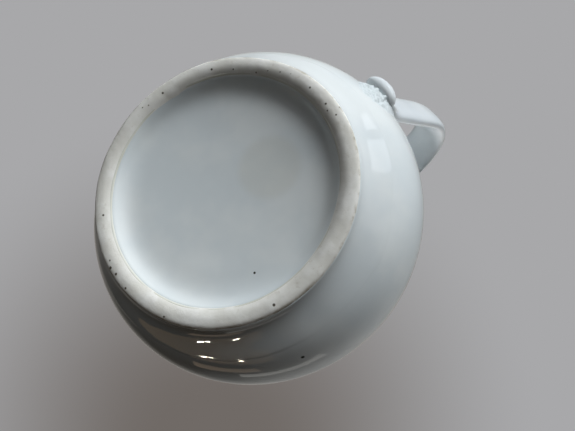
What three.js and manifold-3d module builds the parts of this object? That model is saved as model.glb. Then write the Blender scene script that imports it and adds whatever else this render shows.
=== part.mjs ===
// Porcelain shaving mug: a round-bellied cup on a foot ring, with a strap handle whose lower end is
// rolled outwards. The pieces are those a potter makes and joins with slip. Millimetres, +Z up, the
// foot ring stands on z = 0 and the handle points along +X.
import * as THREE from 'three';
import { mergeVertices } from 'three/addons/utils/BufferGeometryUtils.js';
import Module from 'manifold-3d';

// Cup
const MUG_HEIGHT = 92;
const BELLY_RADIUS = 45;
const BELLY_HEIGHT = 25;
const CURVE_BOTTOM = 2.5;
const NECK_INSET = 4.2;
const NECK_HEIGHT = 68;
const LIP_FLARE = 0.9;
const WALL = 3.6;
const FLOOR = 4.5;

// Foot ring
const FOOT_RADIUS = 32;
const FOOT_HEIGHT = 4.2;
const FOOT_WALL = 4.3;
const FOOT_ROUNDING = 1.3;
const FOOT_BAND = 1.6;
const FOOT_LIP_HEIGHT = 1.6;
const FOOT_COVE = 2.9;
const CUP_OVERHANG = 0.5;

// Handle
const HANDLE_PROJECTION = 20;
const REACH_HEIGHT = 60;
const UPPER_ROOT_HEIGHT = 78;
const LEAVE_HEIGHT = 27;
const ROLL_HEIGHT = 16.6;
const RISE_ANGLE = THREE.MathUtils.degToRad(59);
const STRAP_THICKNESS = 3.8;
const STRAP_WIDTH_LOW = 10;
const STRAP_WIDTH_MIDDLE = 11.2;
const STRAP_WIDTH_TOP = 14.8;
const ROLL_RADIUS = 2.8;
const ROLL_WIDTH = 10.8;

// Slip joints
const GAP = 0.3;
const FOOT_FILLET = 1.3;
const COLLAR_SPREAD = 2.2;
const COLLAR_STAND = 1.9;

// Facets
const TURN_SEGMENTS = 48;
const STRAP_SIDES = 14;
const STRAP_ROWS = 30;

const wasm = await Module();
wasm.setup();

const glaze = { roughness: 0.08, metalness: 0 };
const whiteGlaze = new THREE.MeshStandardMaterial({ color: '#dfe6ea', ...glaze });
const handleGlaze = new THREE.MeshStandardMaterial({ color: '#dde3e8', ...glaze });
const pooledGlaze = new THREE.MeshStandardMaterial({ color: '#cdd8dc', ...glaze });
const biscuit = new THREE.MeshStandardMaterial({ color: '#cfccc4', roughness: 0.75, metalness: 0 });

function point(radius, height) {
  return new THREE.Vector2(radius, height);
}

function distinct(points) {
  return points.filter((p, i) => i === 0 || p.distanceTo(points[i - 1]) > 1e-3);
}

// An outline moved outwards, square to itself, by an offset.
function grown(outline, offset) {
  return outline.map((p, i) => {
    const before = outline[Math.max(i - 1, 0)];
    const after = outline[Math.min(i + 1, outline.length - 1)];
    const along = after.clone().sub(before).normalize();
    return point(p.x + along.y * offset, p.y - along.x * offset);
  });
}

// How far a height below the belly draws the lower curve in, as a share of its ellipse's half width.
function drawnIn(height) {
  const drop = (BELLY_HEIGHT - height) / (BELLY_HEIGHT - CURVE_BOTTOM);
  return 1 - Math.sqrt(1 - drop * drop);
}

// Radius of the lower curve, an elliptical quarter from just outside the foot ring to the belly.
function lowerRadius(height) {
  const seat = FOOT_HEIGHT + GAP;
  const whole = BELLY_RADIUS - FOOT_RADIUS - CUP_OVERHANG;
  return BELLY_RADIUS - (whole * drawnIn(height)) / drawnIn(seat);
}

// Outside of the cup from the edge of its base up to the middle of the lip.
function cupOutside(offset) {
  const seat = FOOT_HEIGHT + GAP;
  const neckRadius = BELLY_RADIUS - NECK_INSET;
  const lipHeight = MUG_HEIGHT - WALL / 2;
  const bend = (NECK_HEIGHT - BELLY_HEIGHT) * 0.4;
  const upper = new THREE.CubicBezierCurve(
    point(BELLY_RADIUS, BELLY_HEIGHT),
    point(BELLY_RADIUS, BELLY_HEIGHT + bend),
    point(neckRadius, NECK_HEIGHT - bend),
    point(neckRadius, NECK_HEIGHT),
  );
  const flare = new THREE.QuadraticBezierCurve(
    point(neckRadius, NECK_HEIGHT),
    point(neckRadius, (NECK_HEIGHT + lipHeight) / 2),
    point(neckRadius + LIP_FLARE, lipHeight),
  );
  const lower = [];
  const steps = 9;
  const depth = BELLY_HEIGHT - CURVE_BOTTOM;
  const lowest = Math.asin((BELLY_HEIGHT - seat) / depth);
  for (let i = 0; i < steps; i += 1) {
    const height = BELLY_HEIGHT - depth * Math.sin(lowest * (1 - i / steps));
    lower.push(point(lowerRadius(height), height));
  }
  return grown(distinct([...lower, ...upper.getPoints(8), ...flare.getPoints(5)]), offset);
}

// Outside radius of the cup at a height, read off its outline.
function wallRadius(height) {
  const outline = cupOutside(0);
  const above = outline.findIndex((p) => p.y >= height);
  const a = outline[Math.max(above - 1, 0)];
  const b = outline[above];
  return THREE.MathUtils.mapLinear(height, a.y, b.y, a.x, b.x);
}

// A solid of revolution about Z from a profile of (radius, height) points.
function turned(profile, segments = TURN_SEGMENTS) {
  return new THREE.LatheGeometry(profile, segments).rotateX(Math.PI / 2);
}

function toSolid(geometry) {
  const bare = geometry.clone();
  bare.deleteAttribute('normal');
  bare.deleteAttribute('uv');
  const merged = mergeVertices(bare, 1e-4);
  const corners = merged.index.array;
  const kept = [];
  for (let i = 0; i < corners.length; i += 3) {
    const [a, b, c] = corners.slice(i, i + 3);
    if (a !== b && b !== c && c !== a) kept.push(a, b, c);
  }
  const vertProperties = new Float32Array(merged.attributes.position.array);
  const triVerts = new Uint32Array(kept);
  return new wasm.Manifold(new wasm.Mesh({ numProp: 3, vertProperties, triVerts }));
}

function toGeometry(solid) {
  const mesh = solid.getMesh();
  const geometry = new THREE.BufferGeometry();
  geometry.setAttribute('position', new THREE.BufferAttribute(mesh.vertProperties, 3));
  geometry.setIndex(new THREE.BufferAttribute(mesh.triVerts, 1));
  geometry.computeVertexNormals();
  return geometry;
}

// Everything inside the cup's outside surface, grown by a gap: it trims what is luted to the wall.
function cupCutter() {
  const outline = cupOutside(GAP);
  return toSolid(turned([point(0, outline[0].y), ...outline, point(0, outline.at(-1).y)]));
}

function mugBody() {
  const outside = cupOutside(0);
  const lip = outside.at(-1);
  const floorTop = outside[0].y + FLOOR;
  const inside = outside
    .filter((p) => p.y > floorTop + WALL)
    .map((p) => point(p.x - WALL, p.y));
  const lowest = inside[0];
  const cove = new THREE.QuadraticBezierCurve(
    point(lowest.x * 0.62, floorTop),
    point(lowest.x * 0.9, floorTop),
    lowest,
  );
  const round = [];
  for (let i = 1; i < 6; i += 1) {
    const angle = (Math.PI * i) / 6;
    const middle = lip.x - WALL / 2;
    round.push(point(middle + Math.cos(angle) * WALL / 2, lip.y + Math.sin(angle) * WALL / 2));
  }
  const profile = [
    point(0, outside[0].y),
    point(FOOT_RADIUS - FOOT_WALL - FOOT_COVE, outside[0].y),
    ...outside,
    ...round,
    ...inside.toReversed(),
    ...cove.getPoints(4).toReversed().slice(1),
    point(0, floorTop),
  ];
  return turned(profile);
}

function footRing() {
  const lipRadius = FOOT_RADIUS - FOOT_WALL;
  const rootRadius = lipRadius - FOOT_COVE;
  const bandOuter = FOOT_RADIUS - FOOT_ROUNDING;
  const outer = new THREE.QuadraticBezierCurve(
    point(bandOuter, 0),
    point(FOOT_RADIUS, 0),
    point(FOOT_RADIUS, FOOT_ROUNDING),
  );
  const lip = new THREE.QuadraticBezierCurve(
    point(lipRadius, FOOT_LIP_HEIGHT),
    point(lipRadius, 0),
    point(bandOuter - FOOT_BAND, 0),
  );
  const cove = new THREE.QuadraticBezierCurve(
    point(rootRadius, FOOT_HEIGHT),
    point(lipRadius - GAP, FOOT_HEIGHT - GAP),
    point(lipRadius, FOOT_LIP_HEIGHT),
  );
  const profile = [
    ...cove.getPoints(4).slice(0, -1),
    ...lip.getPoints(3),
    ...outer.getPoints(3),
    point(FOOT_RADIUS, FOOT_HEIGHT),
    point(rootRadius, FOOT_HEIGHT),
  ];
  return turned(distinct(profile));
}

// Fillet of slip in the corner outside the foot ring, under the overhang of the cup.
function footSlipJoint() {
  const inner = FOOT_RADIUS + GAP;
  const low = FOOT_HEIGHT - FOOT_FILLET;
  const high = FOOT_HEIGHT + FOOT_FILLET;
  const profile = [
    point(inner, low),
    point(lowerRadius(high) - GAP * 2, high - GAP),
    point(lowerRadius(high), high + GAP),
    point(inner, high + GAP),
    point(inner, low),
  ];
  return toGeometry(toSolid(turned(profile)).subtract(cupCutter()));
}

// Middle line of the strap, from its rolled tip up to its upper root inside the wall.
function strapLine() {
  const reach = BELLY_RADIUS + HANDLE_PROJECTION - STRAP_THICKNESS / 2;
  const half = STRAP_THICKNESS / 2;
  const rise = new THREE.Vector3(Math.cos(RISE_ANGLE), 0, Math.sin(RISE_ANGLE));
  const up = new THREE.Vector3(0, 0, 1);
  const tip = new THREE.Vector3(wallRadius(ROLL_HEIGHT) + half, 0, ROLL_HEIGHT);
  const leave = new THREE.Vector3(wallRadius(LEAVE_HEIGHT) + half, 0, LEAVE_HEIGHT);
  const turn = new THREE.Vector3(reach, 0, REACH_HEIGHT);
  const top = new THREE.Vector3(wallRadius(UPPER_ROOT_HEIGHT), 0, UPPER_ROOT_HEIGHT);
  const inwards = new THREE.Vector3(-1, 0, 0.1).normalize();
  const tail = LEAVE_HEIGHT - ROLL_HEIGHT;
  const arm = leave.distanceTo(turn);
  const over = turn.distanceTo(top);
  const line = new THREE.CurvePath();
  line.add(new THREE.CubicBezierCurve3(
    tip,
    tip.clone().addScaledVector(up, tail * 0.35),
    leave.clone().addScaledVector(rise, -tail * 0.35),
    leave,
  ));
  line.add(new THREE.CubicBezierCurve3(
    leave,
    leave.clone().addScaledVector(rise, arm * 0.62),
    turn.clone().addScaledVector(up, -arm * 0.24),
    turn,
  ));
  line.add(new THREE.CubicBezierCurve3(
    turn,
    turn.clone().addScaledVector(up, over * 0.4),
    top.clone().addScaledVector(inwards, -over * 0.45),
    top,
  ));
  line.add(new THREE.LineCurve3(top, top.clone().addScaledVector(inwards, WALL)));
  return line;
}

// Width of the strap at a share of its length: it broadens towards the top.
function strapWidth(share) {
  const middle = 0.45;
  if (share < middle) {
    return THREE.MathUtils.lerp(STRAP_WIDTH_LOW, STRAP_WIDTH_MIDDLE, share / middle);
  }
  const rest = (share - middle) / (1 - middle);
  return THREE.MathUtils.lerp(STRAP_WIDTH_MIDDLE, STRAP_WIDTH_TOP, rest);
}

// The strap: a round bar bent along the middle line, flattened to an oval section.
function strap(grow) {
  const line = strapLine();
  const bar = new THREE.CylinderGeometry(1, 1, 1, STRAP_SIDES, STRAP_ROWS);
  const vertices = bar.attributes.position;
  for (let i = 0; i < vertices.count; i += 1) {
    const share = THREE.MathUtils.clamp(vertices.getY(i) + 0.5, 0, 1);
    const along = line.getTangentAt(share);
    const across = vertices.getX(i) * (strapWidth(share) / 2 + grow);
    const through = vertices.getZ(i) * (STRAP_THICKNESS / 2 + grow);
    const middle = line.getPointAt(share);
    vertices.setXYZ(i, middle.x + along.z * through, across, middle.z - along.x * through);
  }
  return toSolid(bar);
}

// The rolled tip: a plump bolster lying across the end of the strap.
function roll(grow) {
  const radius = ROLL_RADIUS + grow;
  const bolster = new THREE.SphereGeometry(1, STRAP_SIDES, 10);
  bolster.scale(radius, ROLL_WIDTH / 2 + grow, radius);
  bolster.translate(wallRadius(ROLL_HEIGHT) + ROLL_RADIUS - GAP, 0, ROLL_HEIGHT);
  return toSolid(bolster);
}

function handle() {
  return toGeometry(strap(0).add(roll(0)).subtract(cupCutter()));
}

// Slip squeezed out round a root of the handle: an oval mound less the cup and the handle.
function rootCollar(height, halfWidth, halfHeight) {
  const mound = new THREE.SphereGeometry(1, 24, 16);
  mound.scale(COLLAR_STAND + WALL / 2, halfWidth, halfHeight);
  mound.translate(wallRadius(height) - WALL / 2, 0, height);
  const held = strap(GAP).add(roll(GAP));
  return toGeometry(toSolid(mound).subtract(cupCutter()).subtract(held));
}

function upperHandleJoint() {
  const halfWidth = STRAP_WIDTH_TOP / 2 + COLLAR_SPREAD;
  const halfHeight = STRAP_THICKNESS / 2 + COLLAR_SPREAD;
  return rootCollar(UPPER_ROOT_HEIGHT, halfWidth, halfHeight);
}

function lowerHandleJoint() {
  const halfWidth = ROLL_WIDTH / 2 + COLLAR_SPREAD;
  const halfHeight = (LEAVE_HEIGHT - ROLL_HEIGHT) / 2 + COLLAR_SPREAD;
  return rootCollar((LEAVE_HEIGHT + ROLL_HEIGHT) / 2 - COLLAR_SPREAD, halfWidth, halfHeight);
}

const mug = new THREE.Group();

function addPiece(name, geometry, material) {
  const piece = new THREE.Mesh(geometry, material);
  piece.name = name;
  mug.add(piece);
}

addPiece('mug_body', mugBody(), whiteGlaze);
addPiece('foot_ring', footRing(), biscuit);
addPiece('foot_slip_joint', footSlipJoint(), pooledGlaze);
addPiece('handle', handle(), handleGlaze);
addPiece('upper_handle_joint', upperHandleJoint(), pooledGlaze);
addPiece('lower_handle_joint', lowerHandleJoint(), pooledGlaze);

// The origin is under the middle of the whole outline, handle included.
mug.position.x = -HANDLE_PROJECTION / 2;

export default mug;
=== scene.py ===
import math

import bmesh
import bpy
from mathutils import Matrix, Quaternion, Vector, noise
from mathutils.geometry import interpolate_bezier


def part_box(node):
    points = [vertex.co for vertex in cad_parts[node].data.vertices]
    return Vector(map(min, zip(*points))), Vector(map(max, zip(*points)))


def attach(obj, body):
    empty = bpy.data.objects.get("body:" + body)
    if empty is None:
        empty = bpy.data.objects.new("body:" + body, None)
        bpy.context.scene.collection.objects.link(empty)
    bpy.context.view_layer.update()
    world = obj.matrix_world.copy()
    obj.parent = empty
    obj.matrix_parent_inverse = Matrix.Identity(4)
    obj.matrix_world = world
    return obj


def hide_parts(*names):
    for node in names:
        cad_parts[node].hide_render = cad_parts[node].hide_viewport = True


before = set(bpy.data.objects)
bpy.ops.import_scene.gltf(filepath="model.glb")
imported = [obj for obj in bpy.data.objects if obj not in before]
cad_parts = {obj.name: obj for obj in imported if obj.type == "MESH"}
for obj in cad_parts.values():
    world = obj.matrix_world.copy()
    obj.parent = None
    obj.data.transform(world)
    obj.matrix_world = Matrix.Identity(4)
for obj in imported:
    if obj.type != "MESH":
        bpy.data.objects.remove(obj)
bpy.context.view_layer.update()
MM = 0.001


# ---- Cup --------------------------------------------------------------------------------------
# The cup is thrown porcelain, finished in a mould: a round belly, a slightly drawn-in neck and a
# flared lip. It is dipped in clear glaze, which covers it inside and out and under the foot too.

body_low, body_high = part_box("mug_body")
ring_low, ring_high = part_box("foot_ring")
axis = Vector(((body_low.x + body_high.x) / 2, 0, 0))
belly_radius = (body_high.x - body_low.x) / 2
mug_height = body_high.z
foot_radius = (ring_high.x - ring_low.x) / 2
belly_height = 25 * MM
curve_bottom = 2.5 * MM
neck_inset = 4.2 * MM
neck_height = 68 * MM
lip_flare = 0.9 * MM
wall = 3.6 * MM
floor_top = body_low.z + 4.5 * MM
seat_overhang = 0.5 * MM


def drawn_in(height):
    """How far the lower curve has drawn in at a height, as a share of its depth."""
    drop = (belly_height - height) / (belly_height - curve_bottom)
    return 1 - math.sqrt(1 - drop * drop)


def lower_radius(height):
    """Outside radius of the cup below the belly."""
    whole = belly_radius - foot_radius - seat_overhang
    return belly_radius - whole * drawn_in(height) / drawn_in(body_low.z)


def bend(a, b, c, d, count):
    """Points (radius, height) along a cubic curve with these four control points."""
    knots = [Vector((p[0], p[1], 0)) for p in (a, b, c, d)]
    return [(p.x, p.y) for p in interpolate_bezier(*knots, count)]


def half_round(middle, radius, count):
    """Points (radius, height) over the top of a rounded edge, from its outside to its inside."""
    angles = [math.pi * i / (count - 1) for i in range(count)]
    return [(middle[0] + radius * math.cos(a), middle[1] + radius * math.sin(a)) for a in angles]


def outside_wall():
    """Outside of the cup from the edge of the seat up to the start of the lip."""
    neck_radius = belly_radius - neck_inset
    lip_height = mug_height - wall / 2
    pull = (neck_height - belly_height) * 0.4
    depth = belly_height - curve_bottom
    lowest = math.asin((belly_height - body_low.z) / depth)
    heights = [belly_height - depth * math.sin(lowest * (1 - i / 24)) for i in range(24)]
    lower = [(lower_radius(h), h) for h in heights]
    upper = bend((belly_radius, belly_height), (belly_radius, belly_height + pull),
                 (neck_radius, neck_height - pull), (neck_radius, neck_height), 22)
    middle = (neck_height + lip_height) / 2
    flare = bend((neck_radius, neck_height), (neck_radius, middle),
                 (neck_radius + lip_flare * 0.3, lip_height - lip_flare * 2),
                 (neck_radius + lip_flare, lip_height), 10)
    return lower + upper[:-1] + flare


def wall_radius(height):
    """Outside radius of the cup at a height."""
    points = outside_wall()
    for (r0, h0), (r1, h1) in zip(points, points[1:]):
        if h0 <= height <= h1:
            return r0 + (r1 - r0) * (height - h0) / (h1 - h0)
    return points[-1][0]


def outwards(point):
    """Direction from the cup's axis to a point, level with the ground."""
    return Vector((point.x - axis.x, point.y, 0)).normalized()


def spun(outline, steps, closed=True):
    """A solid turned about the cup's axis from an outline of (radius, height) points."""
    bm = bmesh.new()
    verts = [bm.verts.new((axis.x + r, 0, h)) for r, h in outline]
    pairs = list(zip(verts, verts[1:]))
    if closed:
        pairs.append((verts[-1], verts[0]))
    edges = [bm.edges.new(pair) for pair in pairs]
    bmesh.ops.spin(bm, geom=verts + edges, cent=axis, axis=(0, 0, 1), dvec=(0, 0, 0),
                   angle=2 * math.pi, steps=steps, use_merge=True, use_duplicate=False)
    bmesh.ops.remove_doubles(bm, verts=bm.verts, dist=0.01 * MM)
    return bm


def finish_mesh(name, bm, material):
    """Turns a bmesh into a smooth-shaded piece that rides on the mug's only body."""
    bmesh.ops.recalc_face_normals(bm, faces=bm.faces)
    for face in bm.faces:
        face.smooth = True
    mesh = bpy.data.meshes.new(name)
    bm.to_mesh(mesh)
    bm.free()
    mesh.materials.append(material)
    piece = bpy.data.objects.new(name, mesh)
    bpy.context.collection.objects.link(piece)
    smooth = piece.modifiers.new("Smooth", "SUBSURF")
    smooth.levels = 1
    smooth.render_levels = 1
    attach(piece, "root")
    return piece


def linear(code):
    """sRGB hex to linear colour."""
    parts = [int(code[i:i + 2], 16) / 255 for i in (1, 3, 5)]
    return [c / 12.92 if c <= 0.04045 else ((c + 0.055) / 1.055) ** 2.4 for c in parts] + [1]


def add_node(tree, kind, inputs=None, **settings):
    """Adds a node with its settings; an input is a socket to link, a hex colour or a value."""
    node = tree.nodes.new(kind)
    for key, value in settings.items():
        setattr(node, key, value)
    for key, value in (inputs or {}).items():
        if isinstance(value, bpy.types.NodeSocket):
            tree.links.new(value, node.inputs[key])
        elif isinstance(value, str):
            node.inputs[key].default_value = linear(value)
        else:
            node.inputs[key].default_value = value
    return node


def new_material(name):
    """An empty material, with its node tree."""
    material = bpy.data.materials.new(name)
    material.use_nodes = True
    material.node_tree.nodes.clear()
    return material, material.node_tree


def cells(size):
    """Scale of a noise or cell pattern whose features are this many millimetres across."""
    return 1 / (size * MM)


def on_ring(radius, angle, height):
    """A point at a radius and an angle from the handle, in millimetres and degrees."""
    turn = math.radians(angle)
    return (axis.x + radius * MM * math.cos(turn), radius * MM * math.sin(turn), height * MM)


def specks(tree, place, spots):
    """Mask of small round spots, each (point, size in millimetres)."""
    masks = []
    for point, size in spots:
        away = add_node(tree, "ShaderNodeVectorMath", {0: place, 1: point}, operation="DISTANCE")
        spot = add_node(tree, "ShaderNodeMapRange", {
            "Value": away.outputs["Value"], "From Min": size * MM * 0.35,
            "From Max": size * MM * 0.65, "To Min": 1.0, "To Max": 0.0},
            interpolation_type="SMOOTHSTEP")
        masks.append(spot.outputs["Result"])
    total = masks[0]
    for mask in masks[1:]:
        most = add_node(tree, "ShaderNodeMath", {0: total, 1: mask}, operation="MAXIMUM")
        total = most.outputs["Value"]
    return total


def glazed_porcelain(name, deep, thin, spots=(), smudges=(), ior=1.5):
    """Clear feldspathic glaze over white porcelain: a hard wet gloss, faintly blue where the
    glaze is thick, with a slow waviness from the dipping, and iron specks and stains under it."""
    material, tree = new_material(name)
    place = add_node(tree, "ShaderNodeTexCoord").outputs["Object"]
    cloud = add_node(tree, "ShaderNodeTexNoise", {
        "Vector": place, "Scale": cells(16), "Detail": 3.0, "Roughness": 0.55})
    mottle = add_node(tree, "ShaderNodeMapRange", {
        "Value": cloud.outputs["Fac"], "From Min": 0.35, "From Max": 0.68},
        interpolation_type="SMOOTHSTEP")
    colour = add_node(tree, "ShaderNodeMix", {
        0: mottle.outputs["Result"], 6: deep, 7: thin}, data_type="RGBA")
    if smudges:
        faint = add_node(tree, "ShaderNodeMapRange", {
            "Value": specks(tree, place, smudges), "To Max": 0.3},
            interpolation_type="SMOOTHSTEP")
        colour = add_node(tree, "ShaderNodeMix", {
            0: faint.outputs["Result"], 6: colour.outputs[2], 7: "#cfccbf"}, data_type="RGBA")
    if spots:
        colour = add_node(tree, "ShaderNodeMix", {
            0: specks(tree, place, spots), 6: colour.outputs[2], 7: "#37342e"},
            data_type="RGBA")
    film = add_node(tree, "ShaderNodeTexNoise", {
        "Vector": place, "Scale": cells(5), "Detail": 4.0})
    gloss = add_node(tree, "ShaderNodeMapRange", {
        "Value": film.outputs["Fac"], "From Min": 0.3, "From Max": 0.8,
        "To Min": 0.025, "To Max": 0.06}, interpolation_type="SMOOTHSTEP")
    waves = add_node(tree, "ShaderNodeTexNoise", {
        "Vector": place, "Scale": cells(9), "Detail": 1.0, "Roughness": 0.4})
    peel = add_node(tree, "ShaderNodeTexNoise", {
        "Vector": place, "Scale": cells(1.3), "Detail": 1.0, "Roughness": 0.4})
    slow = add_node(tree, "ShaderNodeBump", {
        "Strength": 1.0, "Distance": 0.12 * MM, "Height": waves.outputs["Fac"]})
    fine = add_node(tree, "ShaderNodeBump", {
        "Strength": 1.0, "Distance": 0.004 * MM, "Height": peel.outputs["Fac"],
        "Normal": slow.outputs["Normal"]})
    glaze = add_node(tree, "ShaderNodeBsdfPrincipled", {
        "Base Color": colour.outputs[2], "Roughness": gloss.outputs["Result"], "IOR": ior,
        "Normal": fine.outputs["Normal"]})
    add_node(tree, "ShaderNodeOutputMaterial", {"Surface": glaze.outputs["BSDF"]})
    return material


iron_specks = [
    (on_ring(21.5, 103, 4.2), 0.55),
    (on_ring(24.6, 156, 4.0), 0.35),
    (on_ring(41.0, 101, 12.1), 0.85),
]
tea_stain = [(on_ring(11.7, 14, 4.8), 15)]
cup_glaze = glazed_porcelain("clear_glazed_porcelain", "#dadfe0", "#e4e7e6", iron_specks,
                             tea_stain)

# The hollow under the foot: nearly flat, then a cove that ends in the wiped edge of the glaze.
glaze_edge = foot_radius - 4.7 * MM
under = [(0, 5.0 * MM), (4 * MM, 4.98 * MM), (8 * MM, 4.92 * MM), (12 * MM, 4.8 * MM),
         (16 * MM, 4.6 * MM)]
cove = bend((19.5 * MM, 4.36 * MM), (24.6 * MM, 4.15 * MM), (25.7 * MM, 3.7 * MM),
            (glaze_edge, 1.5 * MM), 16)
tuck = [(glaze_edge + 0.3 * MM, 1.3 * MM), (glaze_edge + 0.6 * MM, 1.2 * MM),
        (glaze_edge + 0.8 * MM, 1.6 * MM), (glaze_edge + 1.3 * MM, 3.0 * MM),
        (foot_radius - 1.0 * MM, 4.0 * MM)]
lip = outside_wall()[-1]
rim = half_round((lip[0] - wall / 2, lip[1]), wall / 2, 9)
inside = [(r - wall, h) for r, h in outside_wall() if h > floor_top + wall]
bowl = bend((inside[0][0] * 0.6, floor_top), (inside[0][0] * 0.88, floor_top),
            (inside[0][0] * 0.97, floor_top + wall * 0.5), inside[0], 10)
cup_outline = under + cove + tuck + outside_wall() + rim[1:-1]
cup_outline += inside[::-1] + bowl[::-1][1:] + [(0, floor_top)]

cup_mesh = spun(cup_outline, 144, closed=False)
for vert in cup_mesh.verts:
    away = Vector((vert.co.x - axis.x, vert.co.y, 0))
    wobble = noise.noise(vert.co * 28) * 0.08 * MM
    if away.length > 1 * MM:
        vert.co -= away.normalized() * (0.08 * MM + wobble)
cup = finish_mesh("cup", cup_mesh, cup_glaze)
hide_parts("mug_body")


# ---- Foot ring --------------------------------------------------------------------------------
# The coil that the cup stands on. Its edge was wiped clean of glaze before firing, so it is bare
# biscuit porcelain, a little gritty, greyed by handling and rounded where it stands.

foot_height = ring_high.z
pinholes = [
    (on_ring(29.1, -87, 0.2), 0.55), (on_ring(29.2, -60, 0.2), 0.55),
    (on_ring(28.4, -49, 0.4), 0.45), (on_ring(28.8, -31, 0.3), 0.3),
    (on_ring(29.8, -99, 0.1), 0.35), (on_ring(29.6, -8, 0.1), 0.5),
    (on_ring(29.6, 3, 0.1), 0.5), (on_ring(29.0, 6, 0.2), 0.4),
    (on_ring(30.1, 10, 0.1), 0.4), (on_ring(30.3, 98, 0.1), 0.6),
    (on_ring(31.0, 145, 0.1), 0.5), (on_ring(30.8, 167, 0.1), 0.5),
    (on_ring(29.2, -156, 0.2), 0.5), (on_ring(30.6, 175, 0.1), 0.6),
    (on_ring(31.0, 179, 0.1), 0.7), (on_ring(30.3, 182, 0.1), 0.4),
]


def biscuit_porcelain():
    """Unglazed fired porcelain: chalky and matt, with grit, iron specks and ingrained dirt."""
    material, tree = new_material("unglazed_biscuit_porcelain")
    place = add_node(tree, "ShaderNodeTexCoord").outputs["Object"]
    cloud = add_node(tree, "ShaderNodeTexNoise", {
        "Vector": place, "Scale": cells(7), "Detail": 5.0, "Roughness": 0.62})
    tone = add_node(tree, "ShaderNodeMapRange", {
        "Value": cloud.outputs["Fac"], "From Min": 0.35, "From Max": 0.7},
        interpolation_type="SMOOTHSTEP")
    body = add_node(tree, "ShaderNodeMix", {
        0: tone.outputs["Result"], 6: "#e2ded5", 7: "#f3f0ea"}, data_type="RGBA")

    # Dirt rubbed into the pores.
    pores = add_node(tree, "ShaderNodeTexNoise", {
        "Vector": place, "Scale": cells(2.2), "Detail": 6.0, "Roughness": 0.7})
    dirt = add_node(tree, "ShaderNodeMapRange", {
        "Value": pores.outputs["Fac"], "From Min": 0.56, "From Max": 0.74, "To Max": 0.55},
        interpolation_type="SMOOTHSTEP")
    dirty = add_node(tree, "ShaderNodeMix", {
        0: dirt.outputs["Result"], 6: body.outputs[2], 7: "#beb4a5"}, data_type="RGBA")

    # Fine grit, in patches.
    grains = add_node(tree, "ShaderNodeTexVoronoi", {"Vector": place, "Scale": cells(2.6)},
                      feature="F1")
    dots = add_node(tree, "ShaderNodeMapRange", {
        "Value": grains.outputs["Distance"], "From Min": 0.05, "From Max": 0.10,
        "To Min": 1.0, "To Max": 0.0}, interpolation_type="SMOOTHSTEP")
    patches = add_node(tree, "ShaderNodeTexNoise", {
        "Vector": place, "Scale": cells(6.5), "Detail": 0.0})
    some = add_node(tree, "ShaderNodeMapRange", {
        "Value": patches.outputs["Fac"], "From Min": 0.56, "From Max": 0.60},
        interpolation_type="SMOOTHSTEP")
    grit = add_node(tree, "ShaderNodeMath", {
        0: dots.outputs["Result"], 1: some.outputs["Result"]}, operation="MULTIPLY")
    gritty = add_node(tree, "ShaderNodeMix", {
        0: grit.outputs["Value"], 6: dirty.outputs[2], 7: "#6d6256"}, data_type="RGBA")
    pitted = add_node(tree, "ShaderNodeMix", {
        0: specks(tree, place, pinholes), 6: gritty.outputs[2], 7: "#4f473c"},
        data_type="RGBA")

    # Darker brown in broken patches along the outer edge, where the glaze begins.
    level = add_node(tree, "ShaderNodeVectorMath", {0: place, 1: (1, 1, 0)},
                     operation="MULTIPLY")
    out = add_node(tree, "ShaderNodeVectorMath", {0: level.outputs["Vector"], 1: axis},
                   operation="DISTANCE")
    edge = add_node(tree, "ShaderNodeMapRange", {
        "Value": out.outputs["Value"], "From Min": foot_radius - 0.9 * MM,
        "From Max": foot_radius - 0.1 * MM}, interpolation_type="SMOOTHSTEP")
    uneven = add_node(tree, "ShaderNodeTexNoise", {
        "Vector": place, "Scale": cells(5.5), "Detail": 4.0, "Roughness": 0.65})
    broken = add_node(tree, "ShaderNodeMapRange", {
        "Value": uneven.outputs["Fac"], "From Min": 0.42, "From Max": 0.62},
        interpolation_type="SMOOTHSTEP")
    edge_darkening = add_node(tree, "ShaderNodeMath", {
        0: edge.outputs["Result"], 1: broken.outputs["Result"]}, operation="MULTIPLY")
    edge_darkened = add_node(tree, "ShaderNodeMix", {
        0: edge_darkening.outputs["Value"], 6: pitted.outputs[2], 7: "#8f8269"}, data_type="RGBA")

    rough = add_node(tree, "ShaderNodeMapRange", {
        "Value": pores.outputs["Fac"], "From Min": 0.3, "From Max": 0.7,
        "To Min": 0.55, "To Max": 0.8}, interpolation_type="SMOOTHSTEP")
    dents = add_node(tree, "ShaderNodeTexNoise", {
        "Vector": place, "Scale": cells(3.5), "Detail": 2.0})
    sand = add_node(tree, "ShaderNodeTexNoise", {
        "Vector": place, "Scale": cells(0.45), "Detail": 3.0, "Roughness": 0.6})
    coarse = add_node(tree, "ShaderNodeBump", {
        "Strength": 0.7, "Distance": 0.25 * MM, "Height": dents.outputs["Fac"]})
    fine = add_node(tree, "ShaderNodeBump", {
        "Strength": 0.6, "Distance": 0.05 * MM, "Height": sand.outputs["Fac"],
        "Normal": coarse.outputs["Normal"]})
    chalk = add_node(tree, "ShaderNodeBsdfPrincipled", {
        "Base Color": edge_darkened.outputs[2], "Roughness": rough.outputs["Result"], "IOR": 1.45,
        "Normal": fine.outputs["Normal"]})
    add_node(tree, "ShaderNodeOutputMaterial", {"Surface": chalk.outputs["BSDF"]})
    return material


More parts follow.
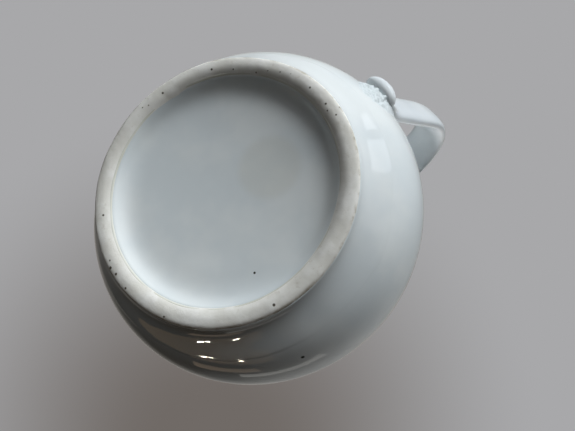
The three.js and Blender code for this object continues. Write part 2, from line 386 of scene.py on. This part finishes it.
crest = foot_radius - 1.9 * MM
inner_slope = bend((glaze_edge - 0.1 * MM, 1.78 * MM), (glaze_edge + 0.6 * MM, 0.95 * MM),
                   (glaze_edge + 1.4 * MM, 0.06 * MM), (crest, 0.03 * MM), 16)
outer_round = bend((crest + 0.4 * MM, 0.03 * MM), (foot_radius - 0.5 * MM, 0.05 * MM),
                   (foot_radius - 0.1 * MM, 0.40 * MM), (foot_radius - 0.08 * MM, 1.0 * MM), 8)
side = [(foot_radius - 0.3 * MM, 1.5 * MM), (foot_radius - 1.0 * MM, foot_height - 0.4 * MM)]
core = [(foot_radius - 3 * MM, foot_height - 0.6 * MM)]
ring_mesh = spun(inner_slope + outer_round + side + core, 180)
for vert in ring_mesh.verts:
    spot = vert.co.copy()
    sway = noise.noise(spot * 70) * 0.14 * MM + noise.noise(spot * 260) * 0.05 * MM
    vert.co -= outwards(spot) * (0.10 * MM + sway)
    if vert.co.z < 1 * MM:
        vert.co.z += (0.08 + 0.08 * noise.noise(spot * 180)) * MM * (1 - vert.co.z / MM)
foot_ring = finish_mesh("foot_ring_biscuit", ring_mesh, biscuit_porcelain())
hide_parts("foot_ring")


# ---- Slip and glaze round the ring ------------------------------------------------------------
# Slip fills the corner where the ring was luted to the cup, under the same glaze as the cup, and
# it wavers where the glaze ran. Inside the ring the wiped glaze ends in a thin yellowish bead.

fillet_top = 8.6 * MM
fillet_end = wall_radius(fillet_top)
steep = (wall_radius(fillet_top + 0.3 * MM) - wall_radius(fillet_top - 0.3 * MM)) / (0.6 * MM)
run = 3.6 * MM / math.hypot(steep, 1)
fillet_lip = [(foot_radius - 0.8 * MM, 1.1 * MM), (foot_radius - 0.5 * MM, 0.9 * MM),
              (foot_radius - 0.2 * MM, 0.8 * MM)]
fillet_face = bend((foot_radius - 0.02 * MM, 0.95 * MM), (foot_radius + 0.5 * MM, 4.3 * MM),
                   (fillet_end - run * steep, fillet_top - run),
                   (fillet_end, fillet_top + 0.02 * MM), 20)
fillet_back = [(wall_radius(9.6 * MM) - 0.25 * MM, 9.6 * MM),
               (wall_radius(10.4 * MM) - 0.8 * MM, 10.4 * MM), (foot_radius, 6.0 * MM),
               (foot_radius - 1 * MM, 3 * MM)]
fillet_mesh = spun(fillet_lip + fillet_face + fillet_back, 180)
for vert in fillet_mesh.verts:
    away = outwards(vert.co)
    run_down = noise.noise(away * 4) * 0.18 * MM + noise.noise(away * 15) * 0.10 * MM
    low = min(1, max(0, (3.2 * MM - vert.co.z) / (2.4 * MM)))
    vert.co += Vector((0, 0, run_down * low)) + away * (noise.noise(vert.co * 150) * 0.09 * MM)
slip_fillet = finish_mesh("foot_slip_fillet", fillet_mesh, cup_glaze)
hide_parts("foot_slip_joint")


def glaze_bead(radius, height, half_width, flat, slant, sway):
    """A bead of glaze along a circle round the foot: an oval section that wavers as it goes."""
    section = []
    tilt = math.radians(slant)
    for i in range(12):
        turn = 2 * math.pi * i / 12
        across = math.cos(turn) * half_width
        through = math.sin(turn) * half_width * flat
        section.append((radius + across * math.cos(tilt) - through * math.sin(tilt),
                        height + across * math.sin(tilt) + through * math.cos(tilt)))
    bead = spun(section, 180)
    for vert in bead.verts:
        away = outwards(vert.co)
        shift = noise.noise(away * 5 + Vector((0, 0, radius * 90))) * sway
        shift += noise.noise(away * 17) * sway * 0.4
        vert.co += away * shift * 0.6 + Vector((0, 0, shift))
    return bead


edge_glaze = glazed_porcelain("thin_yellowed_glaze_edge", "#d8d6c9", "#e2e0d6")
bead_mesh = glaze_bead(glaze_edge + 0.42 * MM, 1.17 * MM, 0.3 * MM, 0.28, -44, 0.03 * MM)
inner_bead = finish_mesh("foot_inner_glaze_edge", bead_mesh, edge_glaze)


# ---- Handle -----------------------------------------------------------------------------------
# One pulled strap of porcelain, flat oval in section, broad at the top and narrow at the bottom.
# Its lower end lies against the belly and is rolled outwards into a small bolster.

strap_thick = 3.8 * MM
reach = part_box("handle")[1].x - axis.x - strap_thick / 2
reach_height = 60 * MM
upper_root = 78 * MM
leave_height = 27 * MM
roll_height = 16.6 * MM
rise_angle = math.radians(59)
low_width, middle_width, top_width = 10 * MM, 11.2 * MM, 14.8 * MM


def strap_line():
    """Middle line of the strap as (radius, height), from the pressed tip to inside the wall."""
    rise = Vector((math.cos(rise_angle), math.sin(rise_angle)))
    up = Vector((0, 1))
    tail = Vector((wall_radius(roll_height) + 1.2 * MM, roll_height))
    leave = Vector((wall_radius(leave_height) + strap_thick / 2, leave_height))
    turn = Vector((reach, reach_height))
    top = Vector((wall_radius(upper_root), upper_root))
    inwards = Vector((-1, 0.1)).normalized()
    low = leave_height - roll_height
    arm = (turn - leave).length
    over = (top - turn).length
    points = bend(tail, tail + up * low * 0.4, leave - rise * low * 0.35, leave, 18)[:-1]
    points += bend(leave, leave + rise * arm * 0.62, turn - up * arm * 0.24, turn, 30)[:-1]
    points += bend(turn, turn + up * over * 0.4, top - inwards * over * 0.45, top, 26)
    end = top + inwards * wall * 0.6
    return points + [(end.x, end.y)]


def section_at(share):
    """Half width and half thickness of the strap at a share of its length."""
    narrow_until = 0.45
    tip_half = 1.3 * MM
    if share < narrow_until:
        width = low_width + (middle_width - low_width) * share / narrow_until
    else:
        spread = (share - narrow_until) / (1 - narrow_until)
        width = middle_width + (top_width - middle_width) * spread
    full = min(1, max(0, (share - 0.02) / 0.12))
    thick = tip_half + (strap_thick / 2 - tip_half) * full * full * (3 - 2 * full)
    return width / 2, thick


def swept_strap():
    """The strap: a tube of soft-cornered sections along its line, closed at both ends."""
    line = strap_line()
    lengths = [0]
    for (r0, h0), (r1, h1) in zip(line, line[1:]):
        lengths.append(lengths[-1] + math.hypot(r1 - r0, h1 - h0))
    rows, sides = len(line) - 1, 36
    bm = bmesh.new()
    bmesh.ops.create_grid(bm, x_segments=rows, y_segments=sides, size=0.5)
    for vert in bm.verts:
        row = round((vert.co.x + 0.5) * rows)
        angle = 2 * math.pi * (vert.co.y + 0.5)
        before, after = line[max(row - 1, 0)], line[min(row + 1, rows)]
        along = (Vector(after) - Vector(before)).normalized()
        half, thick = section_at(lengths[row] / lengths[-1])
        if row == 0:
            half, thick = half * 0.8, thick * 0.5
        cos, sin = math.cos(angle), math.sin(angle)
        across = math.copysign(abs(cos) ** 0.78, cos) * half
        through = math.copysign(abs(sin) ** 0.86, sin) * thick
        middle = Vector(line[row])
        vert.co = (axis.x + middle.x + along.y * through, across, middle.y - along.x * through)
    bmesh.ops.remove_doubles(bm, verts=bm.verts, dist=0.01 * MM)
    bmesh.ops.holes_fill(bm, edges=bm.edges, sides=sides)
    return bm


def add_rolled_tip(bm):
    """The end of the strap rolled up on itself: a plump bolster with a groove under its curl."""
    before = set(bm.verts)
    turned = Matrix.Rotation(math.radians(90), 4, "X")
    bmesh.ops.create_uvsphere(bm, u_segments=64, v_segments=48, radius=1, matrix=turned)
    middle = Vector((axis.x + wall_radius(roll_height) + 1.35 * MM, -0.7 * MM, roll_height))
    for vert in bm.verts:
        if vert in before:
            continue
        ball = vert.co.copy()
        angle = math.degrees(math.atan2(-ball.z, ball.x))
        away = (angle - 112) / 24
        groove = math.exp(-away * away) * (1 - ball.y * ball.y)
        swell = 1 + 0.12 * math.cos(math.radians(angle - 20))
        reach_out = 2.6 * MM * swell - 0.6 * MM * groove
        vert.co = middle + Vector((ball.x * reach_out, ball.y * 5.0 * MM, ball.z * reach_out))


handle_mesh = swept_strap()
add_rolled_tip(handle_mesh)
for vert in handle_mesh.verts:
    pulled = noise.noise(vert.co * 55) * 0.10 * MM
    vert.co += Vector((-abs(pulled), pulled, 0))
handle_glaze = glazed_porcelain("glazed_porcelain_strap", "#dadfe2", "#e4e7e8")
handle = finish_mesh("strap_handle", handle_mesh, handle_glaze)
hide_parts("handle")


# ---- Joints of the handle ---------------------------------------------------------------------
# The strap is stuck on with slip, which squeezes out all round and is sponged to a soft fillet.
# Under the rolled tip the glaze pooled on it and wrinkled as it cooled.

def wall_mound(middle, half_width, half_height, stand, wrinkle=0):
    """A low mound on the outside of the cup: a ball flattened on to the wall."""
    bm = bmesh.new()
    bmesh.ops.create_uvsphere(bm, u_segments=120, v_segments=80, radius=1)
    for vert in bm.verts:
        ball = vert.co.copy()
        height = middle + ball.z * half_height
        side = ball.y * half_width
        spread = math.hypot(ball.y, ball.z)
        if ball.x > 0:
            lift = stand * max(0, 1 - spread ** 2) ** 1.5 - 0.12 * MM
            if wrinkle:
                place = Vector((side * 620, height * 1900, 3))
                fold = abs(noise.noise(place)) * 2.2 - 0.5
                fold += noise.noise(place * 2.3) * 0.35
                under_tip = min(1, max(0, (roll_height - 1.0 * MM - height) / (1.0 * MM)))
                lift += fold * wrinkle * under_tip * max(0, 1 - spread ** 6)
        else:
            lift = -0.8 * MM
        radius = wall_radius(height) + lift
        turn = side / radius
        vert.co = (axis.x + radius * math.cos(turn), radius * math.sin(turn), height)
    return bm


pooled_glaze = glazed_porcelain("pooled_clear_glaze", "#d6dee0", "#e0e6e7", ior=1.52)
lower_mound = wall_mound(roll_height + 0.6 * MM, 6.6 * MM, 6.6 * MM, 2.5 * MM, 1.0 * MM)
lower_joint = finish_mesh("lower_joint_wrinkled_glaze", lower_mound, pooled_glaze)
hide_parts("lower_handle_joint")
upper_mound = wall_mound(upper_root, top_width / 2 + 2.2 * MM, strap_thick / 2 + 2.4 * MM,
                         2.0 * MM)
upper_joint = finish_mesh("upper_joint_slip_fillet", upper_mound, pooled_glaze)
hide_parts("upper_handle_joint")


# ---- Stage ------------------------------------------------------------------------------------
# A pale floor under the foot, shown only from above so that it doesn't hide the foot ring from
# below, and a grey backdrop high over the mug that closes the view from below. The backdrop
# glows with its own light and carries a painted soft shadow of the mug.

def compass(azimuth, elevation):
    """Direction by its angle from the handle and its height, in degrees."""
    turn, lift = math.radians(azimuth), math.radians(elevation)
    return Vector((math.cos(lift) * math.cos(turn), math.cos(lift) * math.sin(turn),
                   math.sin(lift)))


def stage_plane(name, middle, size, facing, material):
    """A square sheet that the camera sees and that neither shades nor lights the mug."""
    bm = bmesh.new()
    bmesh.ops.create_grid(bm, x_segments=1, y_segments=1, size=0.5)
    turn = facing.to_track_quat("Z", "Y").to_matrix().to_4x4()
    bmesh.ops.transform(bm, matrix=turn @ Matrix.Diagonal((size, size, 1, 1)), verts=bm.verts)
    mesh = bpy.data.meshes.new(name)
    bm.to_mesh(mesh)
    bm.free()
    mesh.materials.append(material)
    plane = bpy.data.objects.new(name, mesh)
    plane.location = middle
    bpy.context.collection.objects.link(plane)
    plane.visible_shadow = False
    plane.visible_diffuse = False
    plane.visible_glossy = False


def floor_paint():
    """Matt pale paint on the upper side, clear from below."""
    material, tree = new_material("pale_floor")
    paint = add_node(tree, "ShaderNodeBsdfDiffuse", {"Color": "#cfcdca"})
    clear = add_node(tree, "ShaderNodeBsdfTransparent")
    underside = add_node(tree, "ShaderNodeNewGeometry").outputs["Backfacing"]
    both = add_node(tree, "ShaderNodeMixShader", {
        0: underside, 1: paint.outputs["BSDF"], 2: clear.outputs["BSDF"]})
    add_node(tree, "ShaderNodeOutputMaterial", {"Surface": both.outputs["Shader"]})
    return material


def glowing_backdrop_with_painted_shadow(shadow_place):
    """A grey sheet that glows by itself, with a painted soft shadow darkening round one place."""
    material, tree = new_material("glowing_grey_backdrop_painted_shadow")
    place = add_node(tree, "ShaderNodeTexCoord").outputs["Object"]
    away = add_node(tree, "ShaderNodeVectorMath", {0: place, 1: shadow_place}, operation="DISTANCE")
    shade = add_node(tree, "ShaderNodeMapRange", {
        "Value": away.outputs["Value"], "From Min": 0.3, "From Max": 2.4,
        "To Min": 1.0, "To Max": 0.0}, interpolation_type="SMOOTHSTEP")
    # Painted shadow: the glow goes from grey to a darker warm grey round the shadow's centre.
    colour = add_node(tree, "ShaderNodeMix", {
        0: shade.outputs["Result"], 6: "#a8a8aa", 7: "#706a66"}, data_type="RGBA")
    # The sheet glows with its own light instead of being lit by the lamps.
    glow = add_node(tree, "ShaderNodeEmission", {"Color": colour.outputs[2]})
    add_node(tree, "ShaderNodeOutputMaterial", {"Surface": glow.outputs["Emission"]})
    return material


# The camera looks up at the foot from below, rolled so that the handle is at the upper right.
looked_at = Vector((-1.53, 16.76, 0)) * MM
toward_eye = compass(80.307, -68.775)
eye = looked_at + toward_eye * 89.08 * MM
roll = Quaternion((0, 0, 1), math.radians(133.31))
camera_data = bpy.data.cameras.new("camera")
camera_data.lens = 26.92
camera_data.clip_start = 0.005
camera = bpy.data.objects.new("camera", camera_data)
bpy.context.collection.objects.link(camera)
camera.location = eye
camera.rotation_mode = "QUATERNION"
camera.rotation_quaternion = toward_eye.to_track_quat("Z", "Y") @ roll
bpy.context.scene.camera = camera

stage_plane("floor", (0, 0, 0), 6, Vector((0, 0, 1)), floor_paint())
# Centre of the painted soft shadow on the backdrop, below and to the left in the view.
painted_shadow_centre = camera.rotation_quaternion @ Vector((-0.55, -1.6, 0))
stage_plane("backdrop", eye - toward_eye * 3, 5.4, toward_eye, glowing_backdrop_with_painted_shadow(painted_shadow_centre))


def soft_box(name, azimuth, elevation, distance, size, power, colour, shading, gloss):
    """A camera-invisible area light that faces the mug, for shading, for gloss or for both."""
    data = bpy.data.lights.new(name, "AREA")
    data.shape = "RECTANGLE"
    data.size, data.size_y = size
    data.energy = power
    data.color = linear(colour)[:3]
    lamp = bpy.data.objects.new(name, data)
    bpy.context.collection.objects.link(lamp)
    toward = compass(azimuth, elevation)
    lamp.location = axis + Vector((0, 0, 30 * MM)) + toward * distance
    lamp.rotation_mode = "QUATERNION"
    lamp.rotation_quaternion = toward.to_track_quat("Z", "Y")
    lamp.visible_camera = False
    lamp.visible_diffuse = shading
    lamp.visible_glossy = gloss


soft_box("window", -14, -24, 1.0, (0.9, 0.5), 11.3, "#eff6fa", True, False)
soft_box("window_pane", 5, -9, 1.0, (0.26, 0.34), 0.5, "#f6faff", True, True)
soft_box("small_pane", -12, -6, 1.0, (0.14, 0.2), 0.14, "#f6faff", True, True)
soft_box("doorway", 162, 0, 1.5, (2.2, 0.5), 2.3, "#a48761", False, True)
soft_box("shelf", 150, 21, 1.5, (0.7, 0.2), 0.5, "#a8927c", False, True)
soft_box("table_light", 128, 33, 1.5, (0.9, 0.2), 0.7, "#b4b3ae", False, True)
for turn in (158, 154, 140):
    soft_box("lamp", turn, 3, 1.5, (0.08, 0.022), 0.8, "#fff2e0", False, True)
sun_data = bpy.data.lights.new("daylight", "SUN")
sun_data.energy = 3.4
sun_data.angle = math.radians(30)
daylight = bpy.data.objects.new("daylight", sun_data)
bpy.context.collection.objects.link(daylight)
daylight.rotation_mode = "QUATERNION"
daylight.rotation_quaternion = compass(108, 62).to_track_quat("Z", "Y")
daylight.visible_glossy = False

# The room: dark and warm, with a pale side by the window and faint light from two other sides.
world = bpy.data.worlds.new("room")
world.use_nodes = True
bpy.context.scene.world = world
sky = world.node_tree
sky.nodes.clear()
toward = add_node(sky, "ShaderNodeTexCoord").outputs["Generated"]
room = "#26211b"
for direction, low, high, strength, tint in (
        (compass(-20, -12), 0.2, 1.0, 1.0, "#b2b4b8"),
        (compass(-110, -60), 0.75, 1.0, 0.6, "#7f8588"),
        (compass(-106, 59), 0.55, 0.95, 0.9, "#9c9892")):
    facing = add_node(sky, "ShaderNodeVectorMath", {0: toward, 1: direction},
                      operation="DOT_PRODUCT")
    share = add_node(sky, "ShaderNodeMapRange", {
        "Value": facing.outputs["Value"], "From Min": low, "From Max": high,
        "To Max": strength}, interpolation_type="SMOOTHSTEP")
    lit = add_node(sky, "ShaderNodeMix", {0: share.outputs["Result"], 6: room, 7: tint},
                   data_type="RGBA")
    room = lit.outputs[2]
seen = add_node(sky, "ShaderNodeLightPath").outputs["Is Camera Ray"]
shown = add_node(sky, "ShaderNodeMix", {0: seen, 6: room, 7: "#c4c4c4"}, data_type="RGBA")
air = add_node(sky, "ShaderNodeBackground", {"Color": shown.outputs[2]})
add_node(sky, "ShaderNodeOutputWorld", {"Surface": air.outputs["Background"]})
bpy.context.scene.view_settings.view_transform = "Standard"
